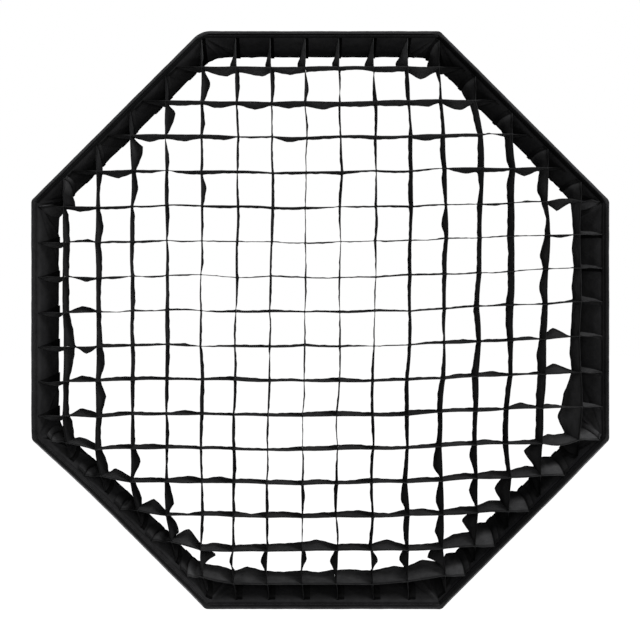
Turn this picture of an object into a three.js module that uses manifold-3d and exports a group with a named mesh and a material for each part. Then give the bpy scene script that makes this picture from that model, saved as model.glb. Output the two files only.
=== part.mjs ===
// Octagonal cloth grid for the front of a softbox: an egg-crate of interlocking cloth strips
// sewn inside a tapered cloth wall, with a bound rim and hook tape round the outside.
//
// Millimetres. X runs to the right, Y from the front face to the rear and Z up.
// The origin is the centre of the octagon, in the plane of the rim's front face.

import * as THREE from "three";
import { mergeVertices } from "three/addons/utils/BufferGeometryUtils.js";
import Module from "manifold-3d";

const wasm = await Module();
wasm.setup();

// The octagon's sides, anticlockwise as seen from the front with X to the right
const sideNames = [
  "right", "upper_right", "top", "upper_left", "left", "lower_left", "bottom", "lower_right",
];
const sideAngle = (2 * Math.PI) / sideNames.length;
const cornerTangent = Math.tan(sideAngle / 2);
const cornerSecant = 1 / Math.cos(sideAngle / 2);

// Rim binding: a padded tape folded round the wall's flange
const acrossFlats = 850;
const rimWidth = 6;
const rimDepth = 6;
const rimCornerRadius = 9;
const rimCornerSteps = 3;
const rimChamfer = 1.4;
const rimLipChamfer = 0.5;

// Wall panels: doubled cloth, wider at the front than at the rear
const wallThickness = 1.2;
const wallDepth = 50.5;
const wallTaperPerDepth = 0.43;
const wallFrontInset = 1.5;
const grooveWidth = 2.2;
const foldWidth = 1.3;
const foldRise = 0.7;
const flangeReach = 2.5;
const flangeSetback = 2.4;
const hemWidth = 9;
const hemThickness = 1.2;
const cornerGap = 0.3;

// Strips of the egg-crate: cloth slit half-way and pushed into each other.
// The room beside the outermost strips is at the wall's rear edge, on average.
const stripsEachWay = 16;
const sideRoom = 13;
const stripDepth = 50;
const stripThickness = 1;
const lapClearance = 0.3;
const stripEndGap = 0.3;
const latticeShiftX = 2.5;
const latticeShiftZ = -8;

// The rows are sewn to the wall a little higher than they hang further in, least at the top.
const rightRise = 16;
const rightRiseSpan = 295;
const leftRise = 5;
const leftRiseSpan = 165;

// The strips' free rear edges are slack, most of all near the wall
const slackAtWall = 6;
const leastSlack = 1.5;
const slackVariation = 0.25;

// Hook tape, one length along each side
const hookTapeWidth = 25;
const hookTapeThickness = 1.8;
const hookTapeCornerRadius = 3;
const hookTapeSetback = 9;
const hookTapeEndMargin = 12;
const hookTapeSeatGap = 0.3;

// Room in the binding above and below the wall's flange, and past its edge
const bindingClearance = 0.3;
const flangeTipClearance = 1;

// Worked out from the sizes above
const rimInradius = acrossFlats / 2;
const rimInnerInradius = rimInradius - rimWidth;
const wallFrontInradius = rimInnerInradius - grooveWidth - foldWidth;
const wallRearY = wallFrontInset + wallDepth;
const wallTilt = Math.atan(wallTaperPerDepth);
const stripFrontY = wallFrontInset;
const stripRearY = stripFrontY + stripDepth;
const lapY = (stripFrontY + stripRearY) / 2;
const halfSlot = stripThickness / 2 + lapClearance;

// Distance from the octagon's centre to the wall's inner face at depth y
function wallInradius(y) {
  return wallFrontInradius - wallTaperPerDepth * (y - wallFrontInset);
}

// The cells of this grid come out 50.8 mm wide, which is 2 in.
const cellPitch = (2 * (wallInradius(stripRearY) - sideRoom)) / (stripsEachWay - 1);

const gridCloth = new THREE.MeshStandardMaterial({ color: 0x1d1d1f, roughness: 0.62, metalness: 0 });
const wallCloth = new THREE.MeshStandardMaterial({ color: 0x151516, roughness: 0.7, metalness: 0 });
const bindingTape = new THREE.MeshStandardMaterial({ color: 0x2a2a2c, roughness: 0.6, metalness: 0 });
const hookTape = new THREE.MeshStandardMaterial({ color: 0x101011, roughness: 0.85, metalness: 0 });

function solidOf(geometry) {
  const bare = new THREE.BufferGeometry();
  bare.setAttribute("position", geometry.getAttribute("position"));
  bare.setIndex(geometry.index);
  const merged = mergeVertices(bare, 1e-4);
  return new wasm.Manifold(
    new wasm.Mesh({
      numProp: 3,
      vertProperties: merged.attributes.position.array,
      triVerts: new Uint32Array(merged.index.array),
    }),
  );
}

function geometryOf(solid) {
  const mesh = solid.getMesh();
  const geometry = new THREE.BufferGeometry();
  geometry.setAttribute("position", new THREE.BufferAttribute(mesh.vertProperties, 3));
  geometry.setIndex(new THREE.BufferAttribute(mesh.triVerts, 1));
  geometry.computeVertexNormals();
  return geometry;
}

function geometryFrom(points, triangles) {
  const geometry = new THREE.BufferGeometry();
  geometry.setAttribute("position", new THREE.Float32BufferAttribute(points.flat(), 3));
  geometry.setIndex(triangles.flat());
  geometry.computeVertexNormals();
  return geometry;
}

// The rim's section, as distance from the centre and depth: a U that opens towards the centre
function rimSection() {
  const slotFront = flangeSetback - bindingClearance;
  const slotRear = flangeSetback + wallThickness + bindingClearance;
  const slotEnd = rimInnerInradius + flangeReach + flangeTipClearance;
  return [
    [rimInnerInradius, rimLipChamfer],
    [rimInnerInradius, slotFront],
    [slotEnd, slotFront],
    [slotEnd, slotRear],
    [rimInnerInradius, slotRear],
    [rimInnerInradius, rimDepth - rimLipChamfer],
    [rimInnerInradius + rimLipChamfer, rimDepth],
    [rimInradius - rimChamfer, rimDepth],
    [rimInradius, rimDepth - rimChamfer],
    [rimInradius, rimChamfer],
    [rimInradius - rimChamfer, 0],
    [rimInnerInradius + rimLipChamfer, 0],
  ];
}

// The section swept once round the octagon, with its corners rounded by short arcs
function rimGeometry() {
  const section = rimSection();
  const arcInradius = rimInradius - rimCornerRadius;
  const points = [];
  for (let corner = 0; corner < sideNames.length; corner++) {
    const cornerAngle = (corner + 0.5) * sideAngle;
    const centreX = arcInradius * cornerSecant * Math.cos(cornerAngle);
    const centreZ = arcInradius * cornerSecant * Math.sin(cornerAngle);
    for (let step = 0; step <= rimCornerSteps; step++) {
      const angle = (corner + step / rimCornerSteps) * sideAngle;
      for (const [inradius, y] of section) {
        const reach = inradius - arcInradius;
        points.push([centreX + reach * Math.cos(angle), y, centreZ + reach * Math.sin(angle)]);
      }
    }
  }
  const triangles = [];
  const stations = points.length / section.length;
  for (let station = 0; station < stations; station++) {
    const here = station * section.length;
    const next = ((station + 1) % stations) * section.length;
    for (let i = 0; i < section.length; i++) {
      const j = (i + 1) % section.length;
      triangles.push([here + i, next + j, here + j], [here + i, next + i, next + j]);
    }
  }
  return geometryFrom(points, triangles);
}

// A side's own frame: X points out from the centre, Y to the rear and Z along the side.
function sideGroup(index) {
  const side = new THREE.Group();
  side.rotation.y = -index * sideAngle;
  return side;
}

// A section in X and Y run along a side, with its two ends mitred to meet the next sides
function mitredBar(section) {
  const bar = new THREE.ExtrudeGeometry(new THREE.Shape(section), { depth: 1, bevelEnabled: false });
  const position = bar.attributes.position;
  for (let i = 0; i < position.count; i++) {
    const halfLength = position.getX(i) * cornerTangent - (cornerGap / 2) * cornerSecant;
    position.setZ(i, THREE.MathUtils.lerp(-halfLength, halfLength, position.getZ(i)));
  }
  bar.computeVertexNormals();
  return bar;
}

// A wall panel's section: flange in the binding, rounded fold, tapered wall and turned rear hem
function wallSection() {
  const across = wallThickness / Math.cos(wallTilt);
  const hemAcross = across + hemThickness / Math.cos(wallTilt);
  const hemStartY = wallRearY - hemWidth * Math.cos(wallTilt);
  const flangeEnd = rimInnerInradius + flangeReach;
  const flangeRearY = flangeSetback + wallThickness;
  const at = (inradius, y) => new THREE.Vector2(inradius, y);
  return [
    at(wallFrontInradius, wallFrontInset),
    at(wallFrontInradius + foldWidth / 2, wallFrontInset - foldRise),
    at(wallFrontInradius + foldWidth, wallFrontInset),
    at(wallFrontInradius + foldWidth, flangeSetback),
    at(flangeEnd, flangeSetback),
    at(flangeEnd, flangeRearY),
    at(wallInradius(flangeRearY) + across, flangeRearY),
    at(wallInradius(hemStartY) + across, hemStartY),
    at(wallInradius(hemStartY) + hemAcross, hemStartY),
    at(wallInradius(wallRearY) + hemAcross, wallRearY),
    at(wallInradius(wallRearY), wallRearY),
  ];
}

function wallPanel(name) {
  const panel = new THREE.Mesh(mitredBar(wallSection()), wallCloth);
  panel.name = "wall_panel_" + name;
  return panel;
}

// A flat tape with rounded corners, lying on the outer face of the wall
function hookTapeLength(name) {
  const midY = hookTapeSetback + (hookTapeWidth / 2) * Math.cos(wallTilt);
  const length = 2 * (wallInradius(midY) * cornerTangent - hookTapeEndMargin);
  const x = length / 2 - hookTapeCornerRadius;
  const y = hookTapeWidth / 2 - hookTapeCornerRadius;
  const outline = new THREE.Shape();
  outline.absarc(x, y, hookTapeCornerRadius, 0, Math.PI / 2);
  outline.absarc(-x, y, hookTapeCornerRadius, Math.PI / 2, Math.PI);
  outline.absarc(-x, -y, hookTapeCornerRadius, Math.PI, 1.5 * Math.PI);
  outline.absarc(x, -y, hookTapeCornerRadius, 1.5 * Math.PI, 2 * Math.PI);
  const options = { depth: hookTapeThickness, bevelEnabled: false, curveSegments: 3 };
  const tape = new THREE.Mesh(new THREE.ExtrudeGeometry(outline, options), hookTape);
  tape.name = "hook_tape_" + name;
  tape.rotation.y = Math.PI / 2;
  const seat = new THREE.Group();
  seat.position.set(wallInradius(midY) + (wallThickness + hookTapeSeatGap) / Math.cos(wallTilt), midY, 0);
  seat.rotation.z = wallTilt;
  seat.add(tape);
  return seat;
}

// How much higher the row of height z lies at x than in the middle of the grid
function rowRise(x, z) {
  const nearRight = Math.max(0, (x - wallFrontInradius) / rightRiseSpan + 1);
  const nearLeft = Math.max(0, (-x - wallFrontInradius) / leftRiseSpan + 1);
  const share = Math.min(1, 1 - z / rimInradius);
  return share * (rightRise * nearRight + leftRise * nearLeft);
}

// Sideways place of the slack rear edge half-way between two laps, towards the grid's centre.
// Near the centre the strips hang straight.
function slack(across, along) {
  const reach = Math.hypot(across, along) / wallFrontInradius;
  const wave = 1 - slackVariation * (1 + Math.cos((across + 2 * along) / cellPitch));
  const amount = slackAtWall * reach * reach * wave;
  return amount < leastSlack ? 0 : -Math.sign(across) * amount;
}

// Points of one side of a lap at s, on the slot's edge, at the slot's floor and on the web's edge.
// The strips push into each other's slots, and the webs behind the slots stay whole.
function lapPoints(s, side, height, slotY, webY) {
  const floorY = lapY + (Math.sign(webY - slotY) * lapClearance) / 2;
  return {
    slotEnd: [s + side * halfSlot, slotY, height],
    floor: [s + side * halfSlot, floorY, height],
    webEnd: [s, webY, height],
  };
}

// A strip's middle surface, in its own frame: X along the strip, Y to the rear, Z across it.
// heightAt gives its course between the laps and bellyAt the slack of its rear edge.
// Each cell between two laps is a fan about the top of its belly, or about a slot's floor.
function stripSurface(laps, reach, slotAtFront, heightAt, bellyAt) {
  const slotY = slotAtFront ? stripFrontY : stripRearY;
  const webY = slotAtFront ? stripRearY : stripFrontY;
  const fans = [];
  const ends = [-reach, ...laps, reach];
  for (let i = 0; i + 1 < ends.length; i++) {
    const [from, to] = [ends[i], ends[i + 1]];
    const middle = (from + to) / 2;
    const inner = i > 0 && i + 2 < ends.length;
    const belly = inner ? bellyAt(middle) : 0;
    const left = lapPoints(from, 1, heightAt(from), slotY, webY);
    const right = lapPoints(to, -1, heightAt(to), slotY, webY);
    const front = slotAtFront ? [left.slotEnd, right.slotEnd] : [left.webEnd, right.webEnd];
    const rear = slotAtFront ? [right.webEnd, left.webEnd] : [right.slotEnd, left.slotEnd];
    if (belly === 0) {
      fans.push([left.floor, ...front, right.floor, ...rear]);
    } else {
      const crown = [middle, stripRearY, (heightAt(from) + heightAt(to)) / 2 + belly];
      fans.push([crown, rear[1], left.floor, ...front, right.floor, rear[0]]);
    }
    if (i > 0) {
      const before = lapPoints(from, -1, heightAt(from), slotY, webY);
      const web = [before.floor, left.floor, left.webEnd];
      fans.push(slotAtFront ? web : web.reverse());
    }
  }
  return fans;
}

// A surface made of fans becomes a closed solid of one thickness, with a wall on each free edge.
function thicken(fans, thickness) {
  const points = [];
  const indexOf = new Map();
  const index = (point) => {
    const key = point.map((value) => value.toFixed(4)).join();
    if (!indexOf.has(key)) {
      indexOf.set(key, points.length / 2);
      points.push([point[0], point[1], point[2] + thickness / 2]);
      points.push([point[0], point[1], point[2] - thickness / 2]);
    }
    return indexOf.get(key);
  };
  const triangles = [];
  const edges = new Map();
  for (const fan of fans) {
    const ring = fan.map(index);
    for (let i = 1; i + 1 < ring.length; i++) {
      const [a, b, c] = [ring[0], ring[i], ring[i + 1]];
      triangles.push([2 * a, 2 * b, 2 * c], [2 * a + 1, 2 * c + 1, 2 * b + 1]);
      for (const [from, to] of [[a, b], [b, c], [c, a]]) {
        if (!edges.delete(to + "-" + from)) edges.set(from + "-" + to, [from, to]);
      }
    }
  }
  for (const [from, to] of edges.values()) {
    triangles.push([2 * from, 2 * from + 1, 2 * to + 1], [2 * from, 2 * to + 1, 2 * to]);
  }
  return geometryFrom(points, triangles);
}

// The space inside the wall, less the gap at the strips' ends
function wallSpace() {
  const frontRadius = (wallInradius(0) - stripEndGap) * cornerSecant;
  const rearRadius = (wallInradius(2 * stripRearY) - stripEndGap) * cornerSecant;
  const length = 2 * stripRearY;
  const space = new THREE.CylinderGeometry(
    rearRadius, frontRadius, length, sideNames.length, 1, false, sideAngle / 2,
  );
  return space.translate(0, length / 2, 0);
}

// Lines of the lattice along X or Z, from low to high
function latticeLines(shift) {
  const first = shift - ((stripsEachWay - 1) / 2) * cellPitch;
  return Array.from({ length: stripsEachWay }, (_, i) => first + i * cellPitch);
}

const columns = latticeLines(latticeShiftX);
const rows = latticeLines(latticeShiftZ);

// Whether a lap at x and z has room inside the wall, at the strips' front edges
function insideWall(x, z) {
  const [long, short] = [Math.max(Math.abs(x), Math.abs(z)), Math.min(Math.abs(x), Math.abs(z))];
  const inradius = wallInradius(stripFrontY) - halfSlot;
  return long < inradius && long + short < inradius * Math.SQRT2;
}

// A strip's middle surface made solid, cut to the wall and placed in the grid
function placedStrip(name, surface, place) {
  const mesh = new THREE.Mesh(undefined, gridCloth);
  mesh.name = name;
  mesh.applyMatrix4(place);
  const space = wallSpace().applyMatrix4(place.clone().invert());
  const cut = solidOf(thicken(surface, stripThickness)).intersect(solidOf(space));
  const largest = cut.decompose().reduce((a, b) => (b.volume() > a.volume() ? b : a));
  mesh.geometry = geometryOf(largest);
  return mesh;
}

// A column lies flat in its own upright plane and is slit from the front.
function verticalStrip(name, x) {
  const laps = rows.map((z) => z + rowRise(x, z)).filter((z) => insideWall(x, z));
  const surface = stripSurface(laps, rimInradius, true, () => 0, (z) => -slack(x, z));
  const place = new THREE.Matrix4().makeRotationY(-Math.PI / 2).setPosition(x, 0, 0);
  return placedStrip(name, surface, place);
}

// A row follows the rise towards the wall and is slit from the rear.
function horizontalStrip(name, z) {
  const laps = columns.filter((x) => insideWall(x, z + rowRise(x, z)));
  const surface = stripSurface(laps, rimInradius, false, (x) => rowRise(x, z), (x) => slack(z, x));
  return placedStrip(name, surface, new THREE.Matrix4().makeTranslation(0, 0, z));
}

const twoDigits = (number) => String(number).padStart(2, "0");

const grid = new THREE.Group();

const binding = new THREE.Mesh(rimGeometry(), bindingTape);
binding.name = "rim_binding";
grid.add(binding);

sideNames.forEach((name, index) => {
  const side = sideGroup(index);
  side.add(wallPanel(name), hookTapeLength(name));
  grid.add(side);
});

columns.forEach((x, i) => {
  grid.add(verticalStrip("vertical_strip_" + twoDigits(i + 1), x));
});

rows.forEach((z, i) => {
  grid.add(horizontalStrip("horizontal_strip_" + twoDigits(rows.length - i), z));
});

export default grid;
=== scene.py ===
"""Looks of the octagonal cloth grid: strips, wall, binding, hook tape, thread, floor, light and camera."""
import math
from typing import NamedTuple

import bpy
import numpy as np
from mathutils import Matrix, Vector


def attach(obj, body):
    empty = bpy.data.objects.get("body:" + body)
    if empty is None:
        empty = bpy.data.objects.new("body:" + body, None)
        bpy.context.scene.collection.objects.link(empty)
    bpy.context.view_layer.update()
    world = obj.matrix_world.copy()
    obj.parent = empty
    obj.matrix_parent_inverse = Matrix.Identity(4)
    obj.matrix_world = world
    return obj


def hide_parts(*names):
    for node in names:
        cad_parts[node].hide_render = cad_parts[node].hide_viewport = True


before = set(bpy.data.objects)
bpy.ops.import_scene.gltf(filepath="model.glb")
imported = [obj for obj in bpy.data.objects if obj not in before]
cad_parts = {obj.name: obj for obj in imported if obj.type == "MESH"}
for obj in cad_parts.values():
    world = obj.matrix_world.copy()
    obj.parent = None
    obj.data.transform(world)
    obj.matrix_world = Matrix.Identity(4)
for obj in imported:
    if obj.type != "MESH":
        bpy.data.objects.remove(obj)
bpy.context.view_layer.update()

# Sizes in millimetres, nearly all the same as the solids'
MM = 0.001
SIDES = ["right", "upper_right", "top", "upper_left", "left", "lower_left", "bottom", "lower_right"]
TURN = math.pi / 4
HALF_TAN = math.tan(TURN / 2)
RIM = 425.0
RIM_CORNER = 9.0
WALL_FRONT = 415.5
WALL_TAPER = 0.43
WALL_INSET = 1.5
WALL_REAR_Y = 52.0
WALL_THICK = 1.1
REAR_CORNER = 46.0
PITCH = 50.8
LINES = 16
SHIFT_X = 2.5
SHIFT_Z = -8.0
FRONT_Y = 1.5
REAR_Y = 51.5
STRIP_THICK = 0.7
HALF_SLOT = 0.5

rng = np.random.default_rng(7)


# The value kept between nought and one
def unit(value):
    return np.clip(value, 0, 1)


def wall_inradius(y):
    return WALL_FRONT - WALL_TAPER * (y - WALL_INSET)


def corner_radius(y):
    share = unit((y - WALL_INSET) / (WALL_REAR_Y - WALL_INSET))
    return RIM_CORNER + (REAR_CORNER - RIM_CORNER) * share**1.3


# How far from the Z axis the rounded octagon reaches at height across
def octagon_reach(across, y):
    r, c = wall_inradius(y), corner_radius(y)
    across = np.abs(across)
    near = (r - c) * HALF_TAN
    far = r - c
    half = c / math.sqrt(2)
    first_arc = far + np.sqrt(np.maximum(c**2 - (across - near) ** 2, 0))
    slope = r * math.sqrt(2) - across
    last_arc = near + np.sqrt(np.maximum(c**2 - (across - far) ** 2, 0))
    reach = np.where(across <= near, r, np.where(across <= near + half, first_arc, slope))
    return np.where(across > far + half, last_arc, reach)


# Along each quad's normal, twice its area long
def quad_crosses(points, quads):
    a, b, c, d = (points[quads[:, k]] for k in range(4))
    return np.cross(c - a, d - b)


def unit_rows(vectors):
    return vectors / np.maximum(np.linalg.norm(vectors, axis=1), 1e-12)[:, None]


def vertex_normals(points, quads):
    face = quad_crosses(points, quads)
    normals = np.zeros_like(points)
    for k in range(4):
        np.add.at(normals, quads[:, k], face)
    return unit_rows(normals)


def boundary_edges(quads):
    edges = np.concatenate([quads[:, [k, (k + 1) % 4]] for k in range(4)])
    key = np.sort(edges, axis=1)
    _, first, count = np.unique(key, axis=0, return_index=True, return_counts=True)
    return edges[first[count == 1]]


def smooth_step(value):
    share = unit(value)
    return share * share * (3 - 2 * share)


# The limp rim has settled out of true: its lower part hangs to the right, most at the left corner, and the
# rear edge of its right side is drawn in.
LOWER_SHIFT = 2.4
LEFT_CORNER_SHIFT = 5.2
RIGHT_DRAWN_IN = 6.0


def settled(points):
    x, y, z = points.T
    out = np.max([x * math.cos(k * TURN) + z * math.sin(k * TURN) for k in range(8)], axis=0)
    to_right = LOWER_SHIFT + LEFT_CORNER_SHIFT * smooth_step((-x - 60) / 150)
    moved = points.copy()
    moved[:, 0] += smooth_step((-z - 150) / 120) * to_right * smooth_step((out - 370) / 40)
    moved[:, 0] -= RIGHT_DRAWN_IN * smooth_step((y - 4) / 46) * smooth_step((x - 375) / 18)
    return moved


def new_object(name, data):
    obj = bpy.data.objects.new(name, data)
    bpy.context.scene.collection.objects.link(obj)
    return obj


# shade is the painted light and shade at each point: it scales the colour there. Edges between points
# with the same mark above nought in sharp are sharp.
def make_object(name, points, faces, uv, material, sharp=None, shade=1.0):
    mesh = bpy.data.meshes.new(name)
    mesh.from_pydata([tuple(p) for p in settled(points) * MM], [], faces)
    mesh.shade_smooth()
    loops = np.zeros(len(mesh.loops), np.int32)
    mesh.loops.foreach_get("vertex_index", loops)
    layer = mesh.uv_layers.new(name="cloth")
    layer.data.foreach_set("uv", (uv[loops] * MM).astype(np.float32).ravel())
    if sharp is not None:
        ends = np.zeros(2 * len(mesh.edges), np.int32)
        mesh.edges.foreach_get("vertices", ends)
        ends = ends.reshape(-1, 2)
        flags = (sharp[ends[:, 0]] > 0) & (sharp[ends[:, 0]] == sharp[ends[:, 1]])
        mesh.attributes.new("sharp_edge", "BOOLEAN", "EDGE").data.foreach_set("value", flags)
    tones = np.broadcast_to(shade, len(points)).astype(np.float32)
    mesh.attributes.new("shade", "FLOAT", "POINT").data.foreach_set("value", tones)
    mesh.materials.append(material)
    mesh.validate()
    return new_object(name, mesh)


# A surface of quads becomes a closed sheet of cloth with square-cut edges.
def sheet_object(name, points, quads, uv, thickness, material, shade=1.0):
    count = len(points)
    offset = vertex_normals(points, quads) * np.broadcast_to(thickness, count)[:, None] / 2
    rim = boundary_edges(quads)
    faces = quads.tolist() + (quads[:, ::-1] + count).tolist()
    faces += [[b, a, a + count, b + count] for a, b in rim.tolist()]
    sharp = np.zeros(2 * count, np.int32)
    sharp[rim.ravel()] = 1
    sharp[rim.ravel() + count] = 2
    both = np.concatenate([points + offset, points - offset])
    tones = np.tile(np.broadcast_to(shade, count), 2)
    return make_object(name, both, faces, np.tile(uv, (2, 1)), material, sharp, tones)


# Smooth noise along a line: a few sines of fixed random phase, about one unit high
def ripple(s, wavelengths, phases):
    return sum(np.sin(2 * np.pi * s / w + p) for w, p in zip(wavelengths, phases)) / len(wavelengths)


# Materials. Noise scales are per metre, and a row of stitches has this pitch in metres.
BROAD_SCALE = 9.0
CREASE_SCALE = 70.0
LINT_SCALE = 900.0
STITCH_PITCH = 0.003


def feed(tree, socket, value):
    if isinstance(value, bpy.types.NodeSocket):
        tree.links.new(value, socket)
    else:
        socket.default_value = value


# A new node. The values are its settings, and numbers or other nodes' outputs for its inputs.
def node(tree, kind, **values):
    made = tree.nodes.new(kind)
    for key, value in values.items():
        if key in made.inputs:
            feed(tree, made.inputs[key], value)
        else:
            setattr(made, key, value)
    return made


def maths(tree, operation, *values):
    made = node(tree, "ShaderNodeMath", operation=operation)
    for k, value in enumerate(values):
        feed(tree, made.inputs[k], value)
    return made.outputs[0]


def mapped(tree, value, low, high, to_low, to_high):
    limits = {"From Min": low, "From Max": high, "To Min": to_low, "To Max": to_high}
    return node(tree, "ShaderNodeMapRange", Value=value, **limits).outputs["Result"]


def noise(tree, place, scale, detail, grain):
    made = node(tree, "ShaderNodeTexNoise", Vector=place, Scale=scale, Detail=detail, Roughness=grain)
    return made.outputs[0]


def scaled(tree, colour, factor):
    made = node(tree, "ShaderNodeVectorMath", operation="SCALE", Vector=colour, Scale=factor)
    return made.outputs[0]


def empty_tree(owner):
    owner.use_nodes = True
    owner.node_tree.nodes.clear()
    return owner.node_tree


# Height of a plain weave: threads of one pitch go over and under each other.
def weave_height(tree, u, v, pitch):
    across = maths(tree, "MULTIPLY", u, math.pi / pitch)
    along = maths(tree, "MULTIPLY", v, math.pi / pitch)
    warp = maths(tree, "ABSOLUTE", maths(tree, "SINE", across))
    weft = maths(tree, "ABSOLUTE", maths(tree, "SINE", along))
    cell_u = maths(tree, "FLOOR", maths(tree, "MULTIPLY", u, 1 / pitch))
    cell_v = maths(tree, "FLOOR", maths(tree, "MULTIPLY", v, 1 / pitch))
    parity = maths(tree, "PINGPONG", maths(tree, "ADD", cell_u, cell_v), 1.0)
    over = maths(tree, "MULTIPLY", warp, parity)
    under = maths(tree, "MULTIPLY", weft, maths(tree, "SUBTRACT", 1.0, parity))
    return maths(tree, "ADD", over, under)


# A row of stitches: one where off is no more than half a thread and u is inside a stitch, else nought
def stitch_line(tree, u, off):
    near = mapped(tree, maths(tree, "ABSOLUTE", off), 0.00022, 0.0004, 1.0, 0.0)
    place = maths(tree, "FRACT", maths(tree, "MULTIPLY", u, 1 / STITCH_PITCH))
    from_middle = maths(tree, "ABSOLUTE", maths(tree, "SUBTRACT", place, 0.5))
    stitch = mapped(tree, from_middle, 0.36, 0.44, 1.0, 0.0)
    return maths(tree, "MULTIPLY", near, stitch)


# A black cloth: weave, broad shading, fine creases, lint, darker bands and a sewn hem. hem is the cloth's
# width and how far the stitches lie from its edge. Bands are (middle, half width, factor) across the cloth
# and hold painted shade. Both are in metres; creases and weave are relief in millimetres.
def cloth_material(
    name, colour, light, roughness, pitch, specular=0.03, hem=None, bands=(), creases=0.3, weave=0.05
):
    material = bpy.data.materials.new(name)
    tree = empty_tree(material)
    uv = node(tree, "ShaderNodeUVMap", uv_map="cloth")
    u, v = node(tree, "ShaderNodeSeparateXYZ", Vector=uv.outputs[0]).outputs[:2]
    place = node(tree, "ShaderNodeTexCoord").outputs["Object"]
    threads = weave_height(tree, u, v, pitch)
    broad = noise(tree, place, BROAD_SCALE, 4.0, 0.6)
    fine = noise(tree, place, CREASE_SCALE, 5.0, 0.62)
    lint = noise(tree, place, LINT_SCALE, 1.0, 0.4)
    broad_shade = mapped(tree, broad, 0.3, 0.7, 0.0, 0.55)
    shade = maths(tree, "ADD", broad_shade, mapped(tree, fine, 0.35, 0.65, -0.1, 0.22))
    shade = maths(tree, "ADD", shade, mapped(tree, threads, 0.0, 1.0, -0.16, 0.16))
    shade = maths(tree, "ADD", shade, mapped(tree, lint, 0.72, 0.76, 0.0, 0.7))
    relief = threads
    if hem:
        width, inset = hem
        from_edge = maths(tree, "MINIMUM", v, maths(tree, "SUBTRACT", width, v))
        seam = stitch_line(tree, u, maths(tree, "SUBTRACT", from_edge, inset))
        shade = maths(tree, "ADD", shade, maths(tree, "MULTIPLY", seam, 0.5))
        relief = maths(tree, "ADD", threads, maths(tree, "MULTIPLY", seam, 4.0))
    mix = node(tree, "ShaderNodeMix", data_type="RGBA")
    feed(tree, mix.inputs[0], node(tree, "ShaderNodeClamp", Value=shade).outputs[0])
    feed(tree, mix.inputs[6], (*colour, 1))
    feed(tree, mix.inputs[7], (*light, 1))
    painted = mix.outputs[2]
    for middle, half, factor in bands:
        off = maths(tree, "ABSOLUTE", maths(tree, "SUBTRACT", v, middle))
        painted = scaled(tree, painted, mapped(tree, off, half - 0.0003, half + 0.0005, factor, 1.0))
    # Each point's painted light and shade scales the colour.
    painted_light = node(tree, "ShaderNodeAttribute", attribute_name="shade").outputs["Fac"]
    crease = node(tree, "ShaderNodeBump", Strength=0.55, Distance=creases * MM, Height=fine)
    bump = node(tree, "ShaderNodeBump", Strength=0.6, Distance=weave * MM, Height=relief)
    feed(tree, bump.inputs["Normal"], crease.outputs[0])
    shader = node(tree, "ShaderNodeBsdfPrincipled", Normal=bump.outputs[0])
    feed(tree, shader.inputs["Base Color"], scaled(tree, painted, painted_light))
    feed(tree, shader.inputs["Roughness"], mapped(tree, fine, 0.3, 0.7, roughness - 0.08, roughness + 0.1))
    feed(tree, shader.inputs["Specular IOR Level"], specular)
    node(tree, "ShaderNodeOutputMaterial", Surface=shader.outputs[0])
    return material


# The darker bands along both hems of a strip are painted shade that outlines its edges.
GRID_CLOTH = cloth_material(
    "grid_nylon", (0.021, 0.021, 0.0217), (0.062, 0.062, 0.0635), 0.55, 0.0005, specular=0.0,
    hem=(0.05, 0.0032), bands=[(0.0, 0.0042, 0.48), (0.05, 0.0042, 0.48)],
)
# The wall's dark band along its rear hem is painted shade.
WALL_CLOTH = cloth_material(
    "wall_nylon", (0.010, 0.010, 0.0104), (0.026, 0.026, 0.0268), 0.6, 0.0006, specular=0.0,
    bands=[(0.0605, 0.0022, 0.1)], creases=0.5,
)
BINDING = cloth_material(
    "binding_tape", (0.010, 0.010, 0.0104), (0.028, 0.028, 0.0289), 0.5, 0.0008, specular=0.02,
    creases=0.35, weave=0.12,
)
HOOKS = cloth_material(
    "hook_tape", (0.004, 0.004, 0.0045), (0.014, 0.014, 0.015), 0.7, 0.0016, creases=0.3, weave=0.5
)
THREAD = cloth_material(
    "thread", (0.009, 0.009, 0.009), (0.022, 0.022, 0.023), 0.5, 0.0004, creases=0.1, weave=0.06
)

# The lattice: where each strip lies, front and rear, at each crossing.
# Columns run left to right and lines run bottom to top.
COLUMN_X = SHIFT_X + (np.arange(LINES) - (LINES - 1) / 2) * PITCH
LINE_Z = SHIFT_Z + (np.arange(LINES) - (LINES - 1) / 2) * PITCH
column_noise, line_noise, column_rear_noise, line_rear_noise = rng.normal(0, 1, (4, LINES, LINES))


def ramp(value):
    return np.maximum(0.0, value)


# A smooth hump one unit high about the middle
def hump(value, middle, width):
    return math.exp(-(((value - middle) / width) ** 2))


# Height of line j above its even place at x, at the strips' front edges
SAG = 6.6
RISE_START = 120.5
RISE_LENGTH = 295


def line_lift(j, x):
    row = LINES - 1 - j
    reach = octagon_reach(LINE_Z[j], FRONT_Y)
    # All lines but the outer ones sag, and all but the top one rise to the right.
    sag = SAG * math.sin(math.pi * (row / (LINES - 1)) ** 1.3)
    to_right = -6.0 if row == 0 else min(17.0, 3 + 2.1 * row)
    lift = to_right * ramp((x - RISE_START) / RISE_LENGTH) ** 1.15 - sag
    # Two waves run down the grid.
    within = unit((400 - abs(LINE_Z[j])) / 120)
    lift = lift + (3.2 * hump(x, -215, 75) + 2.6 * hump(x, 190, 130)) * within
    # The lowest lines' left ends and the last one's right end are pulled up.
    if row >= 11:
        lift = lift + 19 * ramp(1 - (x + reach) / 62) ** 1.2
    if row == LINES - 1:
        lift = lift + 14 * ramp(1 - (reach - x) / 80)
    return lift


# Sideways shift of column i at height z, at the strips' front edges
CORNER_PULL = 7


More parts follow.
